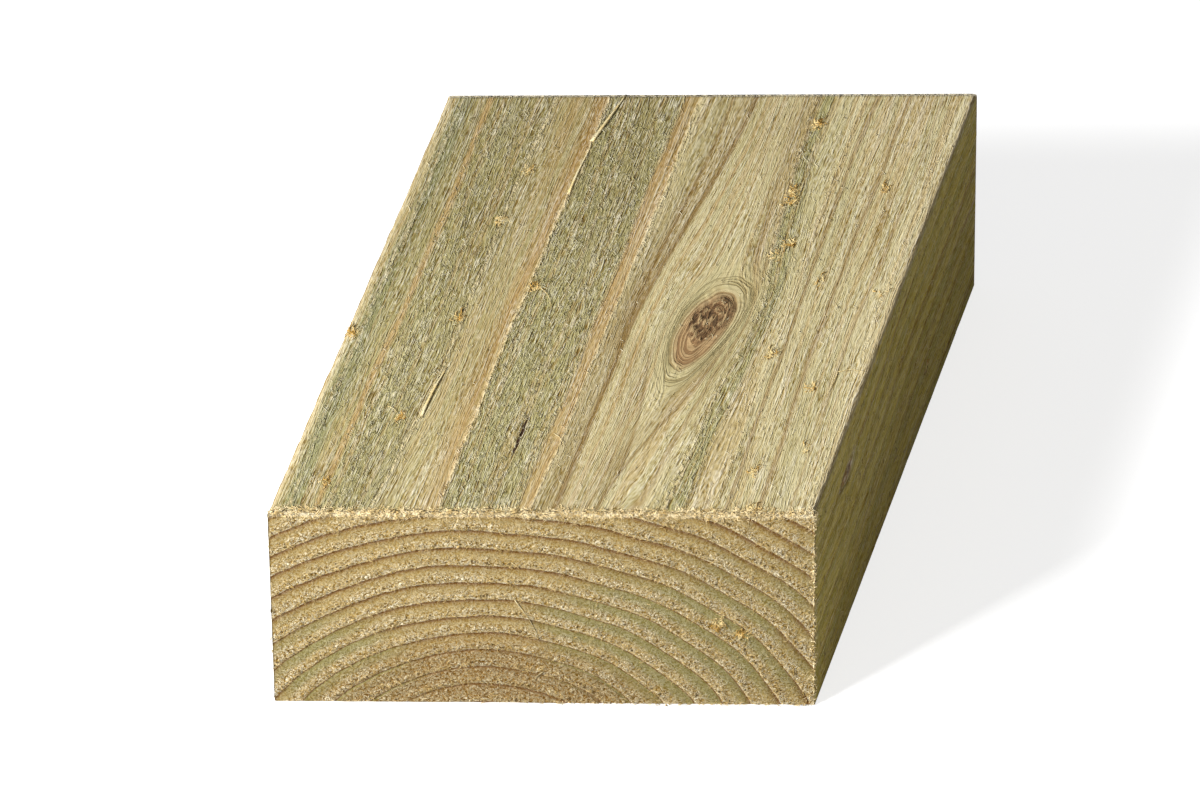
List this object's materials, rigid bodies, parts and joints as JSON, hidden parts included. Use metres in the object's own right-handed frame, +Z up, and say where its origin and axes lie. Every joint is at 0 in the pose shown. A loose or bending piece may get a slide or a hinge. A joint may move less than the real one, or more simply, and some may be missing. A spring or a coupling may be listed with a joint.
{
  "type": "timber stud",
  "caption": "Short length of sawn preservative-treated softwood stud: a rectangular stick with eased long edges and square sawn ends, for framing.",
  "frame": {"origin": "under the middle of the stud, on the wide face that it rests on", "axes": "+Y along the grain from the near sawn end to the far one, +X across the wide face, +Z up through the thickness"},
  "size_m": [0.1, 0.11, 0.047],
  "materials": {
    "treated_softwood": "rough sawn, green-tinted by preservative"
  },
  "bodies": {
    "root": {"stud": "treated_softwood"}
  },
  "joints": []
}
